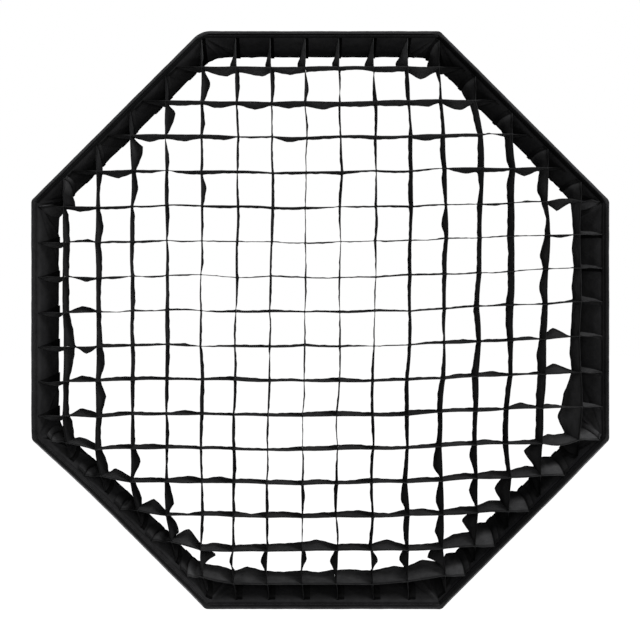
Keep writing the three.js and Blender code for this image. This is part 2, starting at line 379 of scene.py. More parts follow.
def column_shift(i, z):
    reach = octagon_reach(COLUMN_X[i], FRONT_Y)
    # The columns round the twelfth stand to the right.
    shift = 5.0 * hump(i, 11, 2.8) * unit((420 - z) / 160)
    # Outer columns' lower ends and the right ones' upper ends are pulled to the middle.
    if i <= 3:
        shift = shift + CORNER_PULL * ramp(1 - (reach + z) / 60)
    if i >= 12:
        shift = shift - CORNER_PULL * ramp(1 - (reach + z) / 60)
    if i >= 11:
        shift = shift - (5 if i >= 13 else CORNER_PULL) * ramp(1 - (reach - z) / 95)
    # The others lean to the right with height, and some bend besides.
    if i <= 3:
        shift = shift - 1.2
    elif i == 4:
        shift = shift - 0.3
    else:
        shift = shift - 1.0 + 0.0162 * np.clip(z, -220, 240) - 0.026 * ramp(z - 240)
    if 11 <= i <= 14:
        shift = shift - 3.0 * hump(z, -165, 60)
    if i == 11:
        shift = shift - 3.0 * unit((z - 120) / 80)
    if i == 15:
        shift = shift + 1.5 + 4.0 * unit((-z - 110) / 60)
    if i == 0:
        shift = shift + 1.8
    return shift


# How far the crossings wander off those places, front and rear
WANDER_COLUMN = np.where(np.arange(LINES) >= 8, 1.3, 0.8)
WANDER_LINE = 0.8
WANDER_REAR = 1.4
front_x = np.array([[column_shift(i, z) for z in LINE_Z] for i in range(LINES)])
front_x = front_x + COLUMN_X[:, None] + column_noise * WANDER_COLUMN[:, None]
front_z = np.array([[line_lift(j, x) for j in range(LINES)] for x in COLUMN_X])
front_z = front_z + LINE_Z[None, :] + line_noise * WANDER_LINE
front_z[14, 4] -= 4.0
rear_x = front_x + column_rear_noise * WANDER_REAR
rear_z = front_z + line_rear_noise * WANDER_REAR

# Some crossings' rear ends are pulled aside by folds.
rear_z[:, 0] += 7
rear_z[:, 1] += 2.5
rear_x[4:10, 15] += 3.5
rear_x[15, 8:11] += [2, 5, 5]
rear_x[15, 4:8] -= [9, 20, 4, 1.5]
rear_x[0, 11] -= 4
rear_x[0, 7] += 7
rear_z[15, 4] += 6
rear_z[15, 8:11] += 2
rear_z[12:, :4] += 3
rear_z[[12, 13, 14], [1, 2, 3]] += 6
rear_z[[12, 13], [2, 3]] += 2.5
rear_x[2:5] -= 2

# The rear edges hang lower towards the bottom.
REAR_DROP = 0.0093
rear_z[:, 1:] -= REAR_DROP * ramp(102 - LINE_Z)[1:]

# Near the wall the rear edges are drawn in, so that none passes it.
REAR_MARGIN = 2.0
beside, above = np.abs(rear_x), np.abs(rear_z)
rear_out = np.maximum(np.maximum(beside, above), (beside + above) / math.sqrt(2))
drawn_in = unit((wall_inradius(REAR_Y) - REAR_MARGIN) / rear_out)
rear_x, rear_z = rear_x * drawn_in, rear_z * drawn_in

# Slack of the rear edge in chosen cells, by strip and cell: millimetres towards +X or +Z, where along the
# cell its top lies and, in a few, how far the whole depth sways. Columns are counted from the left and lines
# from the bottom, and a cell has the number of the crossing line or column before it.
COLUMN_SLACK = {
    0: {4: (4, 0.75), 5: (-2, 0.5), 6: (1, 0.5), 7: (0.5, 0.5), 8: (1, 0.5), 9: (0, 0.5), 11: (14, 0.15)},
    1: {3: (4, 0.3), 5: (7, 0.5), 6: (5, 0.4), 8: (-1, 0.5), 9: (1, 0.5), 10: (4, 0.5), 11: (-3, 0.5)},
    2: {2: (5, 0.25), 3: (9, 0.5), 11: (5, 0.6), 12: (15, 0.75)},
    3: {1: (13, 0.15), 2: (9, 0.25), 11: (1, 0.5), 12: (4, 0.3), 13: (14, 0.8)},
    4: {0: (24, 0.45), 11: (5, 0.6), 14: (9, 0.65), 15: (-9, 0.3)},
    5: {0: (-8, 0.3), 14: (3, 0.6), 15: (-12, 0.27)},
    6: {0: (-9, 0.3), 14: (1.5, 0.6), 15: (-12, 0.27)},
    7: {0: (9, 0.4), 14: (4, 0.5), 15: (-12, 0.27)},
    8: {0: (-9, 0.3), 15: (-12, 0.27)},
    9: {0: (12, 0.35), 15: (-12, 0.27)},
    10: {0: (-10, 0.3), 2: (-6, 0.3), 13: (3, 0.4), 15: (-12, 0.27)},
    11: {0: (-22, 0.25), 1: (-7, 0.35), 2: (-7, 0.25), 3: (-9, 0.3), 10: (-6, 0.4), 15: (-9, 0.4)},
    12: {0: (-12, 0.4), 1: (-16, 0.45), 2: (-8, 0.5), 3: (-6, 0.6), 10: (1, 0.5), 11: (3.5, 0.5)},
    13: {2: (-13, 0.4), 3: (0, 0.5), 8: (1, 0.5), 9: (1, 0.5)},
    14: {3: (-16, 0.6), 6: (-3, 0.5), 7: (-1, 0.5), 8: (-5, 0.5), 9: (-7, 0.35), 10: (4, 0.5),
        11: (-6, 0.3)},
    15: {4: (-9, 0.6), 5: (-3, 0.3), 6: (-3, 0.5)},
}
LINE_SLACK = {
    0: {5: (6, 0.4), 6: (-2, 0.5), 7: (-3, 0.5), 10: (8, 0.5), 11: (9, 0.35)},
    1: {3: (18, 0.6), 5: (0, 0.5), 9: (7, 0.5), 12: (8, 0.35)},
    2: {2: (15, 0.5), 3: (-3, 0.5), 5: (-4, 0.5), 9: (-3, 0.5), 11: (3, 0.6), 12: (3, 0.7), 13: (8, 0.35)},
    3: {1: (9, 0.3), 3: (5, 0.7), 12: (3, 0.6), 13: (4, 0.7), 14: (8, 0.35)},
    4: {0: (5, 0.2), 13: (0, 0.5), 14: (9, 0.4, -5)},
    5: {0: (9, 0.35), 3: (4, 0.5), 13: (6, 0.5), 14: (3, 0.4), 15: (9, 0.3)},
    6: {0: (6, 0.4), 12: (4, 0.5), 13: (-2, 0.5), 14: (12, 0.4), 15: (8, 0.3)},
    7: {0: (-14, 0.4), 3: (3, 0.5), 14: (15, 0.4), 15: (8, 0.35)},
    8: {0: (8, 0.4), 15: (4, 0.2)},
    9: {0: (-7, 0.55), 15: (5, 0.2)},
    10: {0: (4, 0.6), 15: (6, 0.2)},
    11: {0: (-4, 0.4), 14: (-17, 0.5, 4)},
    12: {1: (-7, 0.5), 13: (-9, 0.5)},
    13: {2: (-6, 0.5), 3: (-4, 0.5), 4: (-4, 0.6), 6: (-5, 0.4), 10: (-5, 0.5), 12: (5, 0.4)},
    14: {4: (-5, 0.35), 5: (-7, 0.5), 6: (-4, 0.5), 7: (-5, 0.5), 10: (-5, 0.7), 11: (-9, 0.7)},
    15: {4: (-7, 0.65), 5: (-7, 0.7), 6: (-4, 0.5), 10: (-11, 0.5)},
}


# Slack of any other cell: its rear edge usually bows to the grid's middle, the further out the more.
def usual_slack(across, along, chance):
    reach = math.hypot(across, along) / WALL_FRONT
    amount = (0.4 + 2.4 * reach * reach) * (0.55 + 0.75 * chance)
    return -math.copysign(1, across) * amount


# A fold's outline along the cell: pointed at top, softened
def fold_outline(u, top):
    pointed = np.where(u < top, u / top, (1 - u) / (1 - top))
    round_one = np.sin(np.pi * unit(u))
    return 0.7 * pointed**1.15 + 0.3 * round_one**1.5


# Steps of the mesh along a cell, a strip's end and a tab, and shares of the depth from front to rear edge.
# At both edges is a hem, which is thicker.
CELL_STEPS = 12
END_STEPS = 14
TAB_STEPS = 3
HEM_SHARE = 0.09
HEM_THICK = 0.3
HEM_SHARES = np.array([0, 0.008, 0.03, 0.08, HEM_SHARE])
between_hems = np.linspace(HEM_SHARE, 1 - HEM_SHARE, 11)[1:-1]
depth_share = np.concatenate([HEM_SHARES, between_hems, 1 - HEM_SHARES[::-1]])
DEPTH_STEPS = len(depth_share) - 1
depth_y = FRONT_Y + (REAR_Y - FRONT_Y) * depth_share
from_edge = np.minimum(depth_share, 1 - depth_share)
strip_thick = STRIP_THICK + HEM_THICK * unit((HEM_SHARE - from_edge) / 0.01)

# A fold starts behind the front hem and grows towards the rear edge.
FOLD_START = 0.12
fold_growth = unit((depth_share - FOLD_START) / (1 - FOLD_START)) ** 1.35

# Where a strip meets the wall: how deep it goes in, how far its tab lies off the wall, the share of the end
# from which it is painted dark, and how dark that painted shade in the seam is
INTO_WALL = 0.2
TAB_OFF = 1.3
SEAM_START = 0.95
SEAM_TONE = 0.15


class End(NamedTuple):
    """Shape, in millimetres, and painted light and shade of a strip's end at the wall."""

    # How far its rear edge leans and its middle bows, and how crumpled it is
    lean: float
    bow: float
    crumple: float
    # How far its front edge is set back at the wall
    setback: float = 0.0
    # Painted light and shade: how much lighter it is painted (darker below nought), how much more so from
    # tip_from on, at the front above all (a painted highlight), and how much darker its rear is painted
    painted_light: float = 0.0
    tip: float = 0.0
    tip_from: float = 0.38
    fade: float = 0.0
    # Its tab: how far the front stands off the wall, its painted tone (a painted shadow where it is dark)
    # and how much lighter its front is painted, its length, and the way it is turned, or nought for the
    # usual one
    tab: float = 0.0
    tab_tone: float = 0.6
    lit: float = 0.0
    tab_length: float = 6.5
    tab_turn: int = 0


# The painted light and shade of an end over its depth, at a share of the way from its last crossing to the
# wall
def end_tone(shape, wall_share):
    if wall_share > SEAM_START:
        return np.full_like(depth_share, SEAM_TONE)
    tone = 1 + shape.painted_light * min(1.0, wall_share * 3) * (1.15 - 0.75 * depth_share)
    tip = shape.tip * min(1.0, 6 * max(0.0, wall_share - shape.tip_from))
    tone = tone + tip * ramp(1 - 0.8 * depth_share)
    rear_part = unit(4 * depth_share - 1.8)
    return tone * (1 - shape.fade * rear_part * min(1.0, 2 * wall_share))


# Builds one strip from its crossings. along and across are its own two directions in the XZ plane. Each
# crossing gives (along, across) at the front and at the rear, and slit_front says from where it is slit.
# Each cell has its slack, and the ends at the wall have their shapes.
def strip_surface(front_ends, rear_ends, slit_front, slacks, end_shapes, tab_side, tab_lift):
    crossings = len(front_ends)
    shape_at = {-1: end_shapes[0], 1: end_shapes[1]}
    lines, uvs, webs, tones = [], [], [], []
    phases = rng.uniform(0, 2 * np.pi, 3)
    run = shape_at[-1].tab_length

    def crossing(k):
        share = depth_share[:, None]
        return np.array(front_ends[k]) * (1 - share) + np.array(rear_ends[k]) * share

    def depth_at(sign, wall_share):
        setback = shape_at[sign].setback * max(0.0, wall_share) ** 0.8
        return depth_y + setback * (1 - depth_share)

    def wall_end(k, sign):
        lean, bow = shape_at[sign].lean, shape_at[sign].bow
        across = crossing(k)[:, 1] + lean * depth_share**1.2 + bow * np.sin(np.pi * depth_share)
        reach = octagon_reach(across, depth_at(sign, 1)) + INTO_WALL
        return np.stack([sign * reach, across], axis=1)

    # The end is turned along the wall in a short tab, usually the way that bends it least.
    def add_tab(sign, across, steps, run_at):
        shape = shape_at[sign]
        turn = shape.tab_turn
        if turn == 0:
            turn = -np.sign(across[0]) if abs(across[0]) > 160 else tab_side
        front_part = ramp(1 - 1.8 * depth_share)
        lift = tab_lift * np.sin(np.pi * unit(depth_share * 1.1)) ** 2
        lift = lift + shape.tab * front_part
        deep = depth_at(sign, 1)
        for step in steps:
            share = step / TAB_STEPS
            at = across + turn * shape.tab_length * share * (0.8 if shape.tab_turn == 0 else depth_share)
            if turn * (across[-1] - across[0]) < 0:
                at = at - (across - across[0]) * share
            off = TAB_OFF + lift * math.sin(math.pi * share * 0.8)
            lines.append(np.stack([sign * (octagon_reach(at, deep) - off), at, deep], axis=1))
            uvs.append(run_at + share * shape.tab_length * sign)
            webs.append(True)
            # The tab is painted its tone, lighter at its front: painted light and shade
            tones.append(shape.tab_tone + shape.lit * front_part)

    spans = [(wall_end(0, -1), crossing(0))]
    spans += [(crossing(k), crossing(k + 1)) for k in range(crossings - 1)]
    spans.append((crossing(crossings - 1), wall_end(crossings - 1, 1)))
    add_tab(-1, spans[0][0][:, 1], range(TAB_STEPS, 0, -1), run)
    for k, (low, high) in enumerate(spans):
        first, last = k == 0, k == len(spans) - 1
        length = np.abs(high[:, 0] - low[:, 0])
        steps = END_STEPS if first or last else CELL_STEPS
        amount, top, lean, sway = slacks[k]
        for step in range(steps + 1):
            u = step / steps
            along = low[:, 0] + (high[:, 0] - low[:, 0]) * u
            along = along + HALF_SLOT * ((not first) * (1 - u) - (not last) * u)
            across = low[:, 1] + (high[:, 1] - low[:, 1]) * u
            across = across + amount * fold_outline(np.array(u), top) * fold_growth
            across = across + lean * math.sin(math.pi * u) * depth_share * (1 - depth_share) * 2
            across = across + sway * math.sin(math.pi * u)
            deep = depth_y
            tone = np.ones_like(depth_share)
            if first or last:
                sign, wall_share = (-1, 1 - u) if first else (1, u)
                deep = depth_at(sign, wall_share)
                tone = end_tone(shape_at[sign], wall_share)
                wave = math.sin(7.5 * wall_share + amount) * wall_share * (1 - wall_share) * 4
                crumpled = shape_at[sign].crumple * wave
                across = across + crumpled * (0.35 + 0.65 * np.sin(np.pi * depth_share))
            across = across + 0.45 * ripple(run + length * u, (19, 31, 13), phases) * (0.3 + depth_share)
            lines.append(np.stack([along, across, deep], axis=1))
            uvs.append(run + u * float(length[0]))
            webs.append(step < steps)
            tones.append(tone)
        run += float(length[0])
    webs[-1] = True
    add_tab(1, spans[-1][1][:, 1], range(1, TAB_STEPS + 1), run)

    # Between two cells only the half that isn't slit is joined.
    count = DEPTH_STEPS + 1
    middle = DEPTH_STEPS // 2
    joined = range(middle, DEPTH_STEPS) if slit_front else range(middle)
    quads = []
    for k in range(len(lines) - 1):
        for t in range(DEPTH_STEPS) if webs[k] else joined:
            a = k * count + t
            quads.append([a, a + 1, a + count + 1, a + count])
    points = np.concatenate(lines)
    uv = np.stack([np.repeat(uvs, count), np.tile(depth_share * (REAR_Y - FRONT_Y), len(uvs))], axis=1)
    return points[:, :2].T, points[:, 2], uv, np.array(quads), np.concatenate(tones)


# Whether strips can cross at a place: it must be inside the wall as far as half its depth.
CROSSING_MARGIN = 1.5


def inside(x, z):
    return abs(x) < octagon_reach(np.array(z), (FRONT_Y + REAR_Y) / 2) - CROSSING_MARGIN


# Slack of each cell of a strip: how far its rear edge bows, where its top lies along the cell, how far its
# middle leans, and how far its whole depth sways
def slack_list(table, index, crossed, across, centres, chances):
    made = []
    for k in range(len(crossed) + 1):
        cell = crossed[k - 1] if k > 0 else crossed[0] - 1
        chance, top, lean = chances[cell % LINES, index]
        amount = usual_slack(across, centres[min(k, len(crossed) - 1)], chance)
        if k in (0, len(crossed)):
            amount *= 0.8
        usual = (amount, 0.5 + 0.22 * top, 0.8 * math.sin(9 * lean))
        chosen = table.get(index, {}).get(cell, usual)
        amount, top, sway = chosen + usual[len(chosen):]
        made.append((amount, float(np.clip(top, 0.12, 0.88)), lean * 1.6, sway))
    return made


# Shapes of a column's lower and upper end
def column_ends(i):
    if i <= 3:
        low = End(3, 2.5, 2, setback=12, tab_tone=0.4)
        if i == 0:
            return low, End(8, 5, 3, painted_light=-0.2, tip=0.8, tip_from=0.5, tab=3, lit=1.5)
        return low, End(0, 1, 0.6)
    if i >= 12:
        low = End(-4, -3, 1.2, setback=10, painted_light=-0.7, tab_tone=0.25)
        return low, End(-14, -3, 1, painted_light=-0.4, tip=0.7, tip_from=0.68, tab=1, tab_tone=0.22, lit=0.15)
    turn = (-1) ** i
    low = End(1.5 * turn, turn, 1, setback=6, tab_tone=0.34, tab_length=13)
    if i == 11:
        return low, End(-11, -4, 1.5, painted_light=-0.3, tip=0.7, tip_from=0.68, tab=1, tab_tone=0.22, lit=0.15)
    return low, End(-8, -1.5, 0.8, painted_light=0.8, tab_tone=0.06)


# Shapes of a line's left and right end
def line_ends(j):
    if j <= 3:
        left = End(
            10, 4, 3, setback=7, painted_light=0 if j == 0 else -0.55, tip=0.6, tip_from=0.5, fade=0.6,
            tab=3, tab_tone=0.3, lit=0.4, tab_length=14,
        )
        return left, End(15, 3, 0.8, painted_light=0.15, fade=0.75, tab=3, tab_tone=0.22, lit=0.15, tab_length=11)
    if j == 4:
        left = End(9, 6, 2, setback=12, tip=0.9, fade=0.7, tab=3, lit=0.9, tab_length=12)
        return left, End(14, 3, 1.5, painted_light=0.5, fade=0.6, tab=3, lit=1, tab_length=11)
    if j <= 10:
        left = End(-9 if j <= 8 else -10, -3, 1.5, painted_light=-0.2, tab_tone=0.14, tab_length=9, tab_turn=1)
        if j <= 8:
            return left, End(4, 3, 1.5, painted_light=0.5)
        return left, End(3, 3, 1.2, painted_light=0.3, tab_tone=0.1)
    if j == 11:
        left = End(-12, -6, 2, painted_light=-0.3, tab=3, tab_tone=0.3, lit=2.6, tab_length=10, tab_turn=1)
        right = End(
            -8, -6, 4, painted_light=-0.4, tip=0.6, tab=3, tab_tone=0.3, lit=0.5, tab_length=14, tab_turn=-1
        )
        return left, right
    left = End(-1, -1.5, 0.8, setback=4, painted_light=-0.6, tab_tone=0.26, tab_length=16)
    return left, End(-2, -1, 1, setback=8, painted_light=-0.65, tab_tone=0.25)


cell_chances = rng.normal(0, 1, (2, LINES, LINES, 3))
tab_chances = rng.normal(0, 1, (2, LINES, 2))

# Columns, then lines: the places of their crossings along and across them, front and rear, their slacks, the
# even places of themselves and of what they cross, and the shapes of their ends
KINDS = [
    (front_z, front_x, rear_z, rear_x, COLUMN_SLACK, COLUMN_X, LINE_Z, column_ends),
    (front_x.T, front_z.T, rear_x.T, rear_z.T, LINE_SLACK, LINE_Z, COLUMN_X, line_ends),
]
COLUMN_TONE = 0.85
for kind, (*places, table, own, others, end_shapes) in enumerate(KINDS):
    columns = kind == 0
    for n in range(LINES):
        along, across, rear_along, rear_across = (place[n] for place in places)
        crossed = [k for k in range(LINES) if inside(across[k], along[k])]
        front = [(along[k], across[k]) for k in crossed]
        rear = [(rear_along[k], rear_across[k]) for k in crossed]
        slacks = slack_list(table, n, crossed, own[n], others[crossed], cell_chances[kind])
        lift = 0.5 + abs(tab_chances[kind, n, 1])
        tab_side = 1 if columns else -1
        surface = strip_surface(front, rear, columns, slacks, end_shapes(n), tab_side, lift)
        (along, across), y, uv, quads, tones = surface
        if columns:
            # Painted shade: darker than the lines, and more so towards the bottom
            tones = tones * COLUMN_TONE * (1 - 0.4 * unit((-along - 50) / 150))
            placed = np.stack([across, y, along], axis=1)
            name, nodename = f"column_cloth_{n + 1:02d}", f"vertical_strip_{n + 1:02d}"
        else:
            # Painted light: lighter near the top and, less so, near the bottom; pieces are numbered from the
            # top
            tones = tones * (1 + 0.4 * unit((across - 150) / 150))
            tones = tones * (1 + 0.25 * unit((-across - 60) / 120))
            placed = np.stack([along, y, across], axis=1)
            name, nodename = f"line_cloth_{LINES - n:02d}", f"horizontal_strip_{LINES - n:02d}"
        thickness = np.tile(strip_thick, len(placed) // len(strip_thick))
        obj = sheet_object(name, placed, quads, uv, thickness, GRID_CLOTH, tones)
        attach(obj, "root")
        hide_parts(nodename)

# How far each side's rim is rolled: its inner edge lies this share of its width further back. The roll
# fades over this length to each corner.
RIM_ROLL = {"right": 0.25, "lower_right": 0.6, "bottom": 0.15, "lower_left": 0.4}
ROLL_FADE = 40.0


def rolled(side, inradius, along):
    window = smooth_step((RIM * HALF_TAN - np.abs(along)) / ROLL_FADE)
    return RIM_ROLL.get(SIDES[side], 0) * window * np.clip(RIM - inradius, 0, RIM - WALL_FRONT + 1)


# Points round the octagon for one side, from the middle of one corner to the middle of the next.
# Each is (outward, along, turn): its place in the side's own frame and the outward angle there.
# Steps are shorter near the corners.
STRAIGHT_STEPS = 130
ARC_STEPS = 5


def side_line(inradius, low_corner, high_corner):
    arc = np.linspace(0, TURN / 2, ARC_STEPS + 1)[1:]
    ends = []
    for corner in (low_corner, high_corner):
        centre = inradius - corner
        half = centre * HALF_TAN
        ends.append((half, centre + corner * np.cos(arc), half + corner * np.sin(arc)))
    share = np.linspace(-1, 1, STRAIGHT_STEPS + 1)
    share = 0.55 * share + 0.45 * np.sin(np.pi / 2 * share)
    straight = np.where(share < 0, share * ends[0][0], share * ends[1][0])
    low = np.stack([ends[0][1], -ends[0][2], -arc], axis=1)[::-1]
    flat = np.stack([np.full_like(straight, inradius), straight, np.zeros_like(straight)], axis=1)
    high = np.stack([ends[1][1], ends[1][2], arc], axis=1)
    return np.concatenate([low, flat, high])


# From a side's own frame to the whole grid's, with y between
def to_grid(side, outward, along, y):
    angle = side * TURN
    x = outward * math.cos(angle) - along * math.sin(angle)
    z = outward * math.sin(angle) + along * math.cos(angle)
    return np.stack([x, np.broadcast_to(y, x.shape), z], axis=-1)


# The direction along a side
def side_way(side):
    return np.array([-math.sin(side * TURN), 0, math.cos(side * TURN)])


def grid_quads(rows_count, columns_count):
    a = (np.arange(rows_count - 1)[:, None] * columns_count + np.arange(columns_count - 1)[None, :]).ravel()
    return np.stack([a, a + 1, a + columns_count + 1, a + columns_count], axis=1)


# Wall panels as (inradius, y): flange in the binding, front fold, tapered wall and turned hem
def wall_path():
    points = [(421.2, 3.0), (419.4, 3.0), (417.9, 2.95), (417.15, 2.5), (416.95, 1.9), (416.6, 1.35),
              (416.15, 1.15), (415.8, 1.45), (415.75, 2.2)]
    points += [(wall_inradius(y) + 0.6, y) for y in np.linspace(3.2, 51.3, 22)]
    rear = wall_inradius(WALL_REAR_Y)
    points += [(rear + 0.8, 51.9), (rear + 1.3, 52.1), (rear + 1.9, 51.8)]
    points += [(wall_inradius(y) + 2.05, y) for y in (51.0, 49.0, 47.0, 45.0, 43.6)]
    return points


# Creases that spread from each front corner over the wall: slope along the wall, height and width
PLEATS = [(0.35, -3.4, 2.0), (0.62, 2.6, 2.6), (1.05, -2.4, 3.0), (1.5, 1.6, 3.5)]
# How strong the creases are at some sides' ends; elsewhere they are of strength one
CORNER_FOLDS = {(4, 1): 2.0, (5, -1): 1.4, (7, 1): 1.5, (0, -1): 1.9, (0, 1): 1.5, (1, -1): 1.3}
WALL_DEPTH = 48.0


def corner_pleats(side, s, reach, depth):
    lift = np.zeros_like(s)
    for end in (-1, 1):
        from_corner = reach - end * s
        side_strength = CORNER_FOLDS.get((side, end), 1)
        for k, (slope, height, width) in enumerate(PLEATS):
            turned = slope * (1 + 0.25 * math.sin(3 * side + 5 * end + 2 * k))
            strength = height * (0.6 + 0.5 * math.sin(2 * side + 3 * end + k)) * side_strength
            ridge = np.exp(-(((from_corner - turned * depth - 1) / width) ** 2))
            lift = lift + strength * ridge * min(1, depth / 14) * (1 - 0.7 * depth / WALL_DEPTH)
    return lift


# Each side's painted light and shade: how far the painted shade beside the rim reaches, how dark it is
# there, how much lighter the painted highlight on the fold behind is, and how light that side is painted
WALL_TONES = {
    "right": (2, 0.4, 0.25, 1), "upper_right": (1.3, 0.12, 0.1, 0.7), "top": (0.5, 0.3, 0.1, 0.9),
    "upper_left": (1.2, 0.3, 0.1, 1), "left": (0.5, 0.9, 0.45, 1), "lower_left": (0.5, 1, 0.15, 1.15),
    "bottom": (0.5, 0.8, 0.8, 0.8), "lower_right": (1.5, 0.5, 0.6, 0.5),
}


# Painted light and shade of a side's wall at depth y
def wall_shade(name, y):
    reach, dark, fold_highlight, tone = WALL_TONES[name]
    into = ramp(y - 1.2)
    out_of_groove = float(unit((into - reach) / 1.2))
    painted_light = fold_highlight * hump(into - reach, 3.5, 5.0)
    return (dark + (1 - dark) * out_of_groove + painted_light * out_of_groove) * tone


# The corner between the top and the upper right side is this much less round at the rear.
SHARP_CORNER = 22.0
# Where along its cloth the middle of a side lies
UV_MIDDLE = 200.0


def wall_panel(side, name):
    path = wall_path()
    tones = []
    phases = rng.uniform(0, 2 * np.pi, (3, 4))
    lines, uvs = [], []
    run = 0.0
    for k, (inradius, y) in enumerate(path):
        corner = corner_radius(min(y, WALL_REAR_Y)) + inradius - wall_inradius(y)
        sharp = corner - SHARP_CORNER * unit((y - WALL_INSET) / 50)
        low, high = sharp if name == "top" else corner, sharp if name == "upper_right" else corner
        line = side_line(inradius, low, high)
        depth = unit((y - 4) / WALL_DEPTH)
        s = line[:, 1]
        half = np.abs(s[0])
        pleats = corner_pleats(side, s, half, depth * WALL_DEPTH)
        end = np.maximum(0, 1 - (half - np.abs(s)) / 26) ** 2
        wave = 0.55 * ripple(s, (61, 97, 37, 23), phases[0]) * depth
        wave = wave + 0.6 * ripple(s + 0.6 * y, (29, 43, 17, 71), phases[1]) * math.sin(math.pi * depth)
        wave = wave - 1.3 * end * depth + pleats
        outward = line[:, 0] + wave * np.cos(line[:, 2])
        along = s + wave * np.sin(line[:, 2])
        roll = rolled(side, inradius, s) * min(1.0, max(0.0, (20 - y) / 15))
        lines.append(to_grid(side, outward, along, y + roll))
        if k:
            run += math.hypot(inradius - path[k - 1][0], y - path[k - 1][1])
        uvs.append(np.stack([s + UV_MIDDLE, np.full_like(s, run)], axis=1))
        # Painted light and shade follow the pleats: the colour is scaled by each crease's height.
        tones.append(wall_shade(name, y) * np.clip(1 - 0.22 * pleats, 0.4, 1.8))
    points, uv = np.concatenate(lines), np.concatenate(uvs)
    quads = grid_quads(len(path), len(lines[0]))
    tones = np.concatenate(tones)
    obj = sheet_object(f"wall_cloth_{name}", points, quads, uv, WALL_THICK, WALL_CLOTH, tones)
    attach(obj, "root")
    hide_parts(f"wall_panel_{name}")


# Radius of the rim at the corner after each side
RIM_CORNERS = [11.0, 8.5, 36.0, 8.5, 9.0, 8.5, 8.5, 9.0]

# Binding as (inradius, y): a folded tape with a padded edge, run once round
BINDING_PATH = [
    (419, 0.9), (419.3, 0.35), (420, 0.08), (420.7, 0.2), (421.1, 0.34), (421.5, 0.2), (422.4, 0),
    (423.5, 0.1), (424.3, 0.5), (424.8, 1.3), (425, 2.4), (425, 3.7), (424.8, 4.8), (424.2, 5.6),
    (423.2, 5.95), (421.6, 6), (420, 5.9), (419.3, 5.6), (419, 5.1), (419, 3.95), (422, 3.9), (422, 2.1),
    (419, 2.05),
]

# Painted light and shade of each side's rim: how light it is painted along its edge (a painted highlight),
# on its face and where it is sewn to the wall (painted shade), and from which inradius the edge and the face
# begin
RIM_TONE = {
    "right": (2, 0.4, 0.3), "upper_right": (2.2, 1.6, 0.1), "top": (1.6, 1.6, 0.05),
    "upper_left": (2, 1.6, 0.2), "left": (1.2, 1.1, 0.8), "lower_left": (7, 0.5, 0.3),
    "bottom": (2, 1.1, 0.4), "lower_right": (5, 0.4, 0.3),
}
RIM_EDGE = 423.4
RIM_FACE = 420.8


def rim_tone(side, inradius, along):
    share = unit((RIM * HALF_TAN - np.abs(along)) / 12)
    edge, face, seam = RIM_TONE[SIDES[side]]
    tone = edge if inradius > RIM_EDGE else face if inradius > RIM_FACE else seam
    return 1 + (tone - 1) * share


# Length of one side of the rim
SIDE_RUN = 352.0


def binding_ring():
    rings, uvs, tones = [], [], []
    phases = rng.uniform(0, 2 * np.pi, (4, 4))
    path = np.array(BINDING_PATH)
    step = np.linalg.norm(np.diff(path, axis=0, append=path[:1]), axis=1)
    across_uv = np.concatenate([[0], np.cumsum(step)[:-1]])
    centre_n, centre_y = path.mean(axis=0)
    for side in range(len(SIDES)):
        low, high = RIM_CORNERS[side - 1], RIM_CORNERS[side]
        run = side * SIDE_RUN + side_line(RIM, low, high)[:-1, 1]
        swell = 1 + 0.035 * ripple(run, (31, 17, 53, 11), phases[0])
        wander = 0.22 * ripple(run, (140, 83, 47, 210), phases[1])
        for n, y in BINDING_PATH:
            line = side_line(n, low + n - RIM, high + n - RIM)[:-1]
            off = (n - centre_n) * (swell - 1) + wander
            outward = line[:, 0] + off * np.cos(line[:, 2])
            along = line[:, 1] + off * np.sin(line[:, 2])
            depth = centre_y + (y - centre_y) * swell
            depth = np.maximum(depth, -0.25) + rolled(side, n, line[:, 1])
            rings.append(to_grid(side, outward, along, depth))
            tones.append(rim_tone(side, n, line[:, 1]))
        uvs += [np.stack([run, np.full_like(run, v)], axis=1) for v in across_uv]
    per_side, count = len(BINDING_PATH), len(rings[0])
    order = np.arange(len(SIDES) * per_side * count).reshape(len(SIDES), per_side, count)
    order = order.transpose(0, 2, 1).reshape(-1, per_side)
    there = np.roll(order, -1, 0)
    faces = np.stack([order, np.roll(order, -1, 1), np.roll(there, -1, 1), there], axis=-1)
    return np.concatenate(rings), faces.reshape(-1, 4).tolist(), np.concatenate(uvs), np.concatenate(tones)


points, faces, uv, tones = binding_ring()
binding = make_object("binding_tape", points, faces, uv, BINDING, shade=tones)
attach(binding, "root")
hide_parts("rim_binding")

for side, name in enumerate(SIDES):
    wall_panel(side, name)

# Hook tape along the outer face of each panel. Its hooks stand a little higher than its woven edge, which
# lies at TAPE_EDGE across it.
TAPE_WIDTH = 25.0
TAPE_THICK = 1.8
TAPE_SETBACK = 9.0
TAPE_MARGIN = 12.0
TAPE_CORNER = 3.0
TAPE_EDGE = np.array([10.4, 11.4, 12.2, 12.5])
HOOKS_HIGH = 0.35
TILT = math.atan(WALL_TAPER)
TAPE_MID_Y = TAPE_SETBACK + TAPE_WIDTH / 2 * math.cos(TILT)
TAPE_SEAT = wall_inradius(TAPE_MID_Y) + 1.35 / math.cos(TILT)
TAPE_HALF = wall_inradius(TAPE_MID_Y) * HALF_TAN - TAPE_MARGIN


# A place on a tape, from the distance along and across it and the height off the wall
def on_tape(side, along, across, height):
    outward = TAPE_SEAT + height * math.cos(TILT) - across * math.sin(TILT)
    y = TAPE_MID_Y + height * math.sin(TILT) + across * math.cos(TILT)
    points = to_grid(side, outward, along, 0.0)
    points[..., 1] = y
    return points


